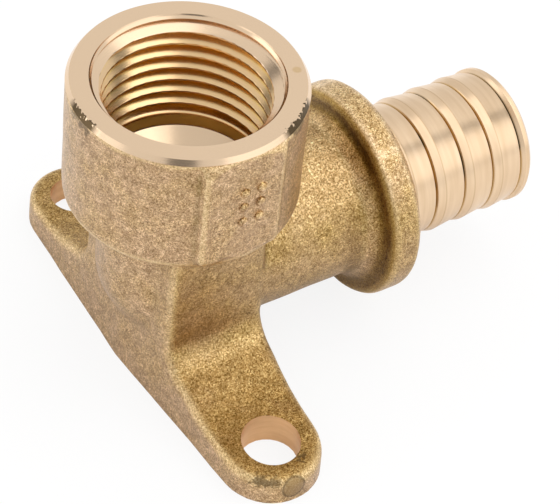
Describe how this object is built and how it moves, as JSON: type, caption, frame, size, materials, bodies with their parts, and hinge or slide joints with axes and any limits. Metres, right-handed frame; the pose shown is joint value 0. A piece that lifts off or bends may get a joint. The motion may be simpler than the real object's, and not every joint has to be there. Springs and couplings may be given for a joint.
{
  "type": "wall plate elbow",
  "caption": "Brass wall plate elbow: a threaded socket faces away from the wall, a barbed pipe spigot leaves at right angles, and ears take screws.",
  "frame": {"origin": "on the wall face, under the socket's axis", "axes": "+Z out of the wall along the socket's axis, +X along the pipe spigot, Y along the line of the screw holes"},
  "size_m": [0.058, 0.0566, 0.0403],
  "materials": {
    "brass": "blasted forging skin, with a turned face, thread and spigot"
  },
  "bodies": {
    "root": {"elbow_body": "brass"}
  },
  "joints": []
}
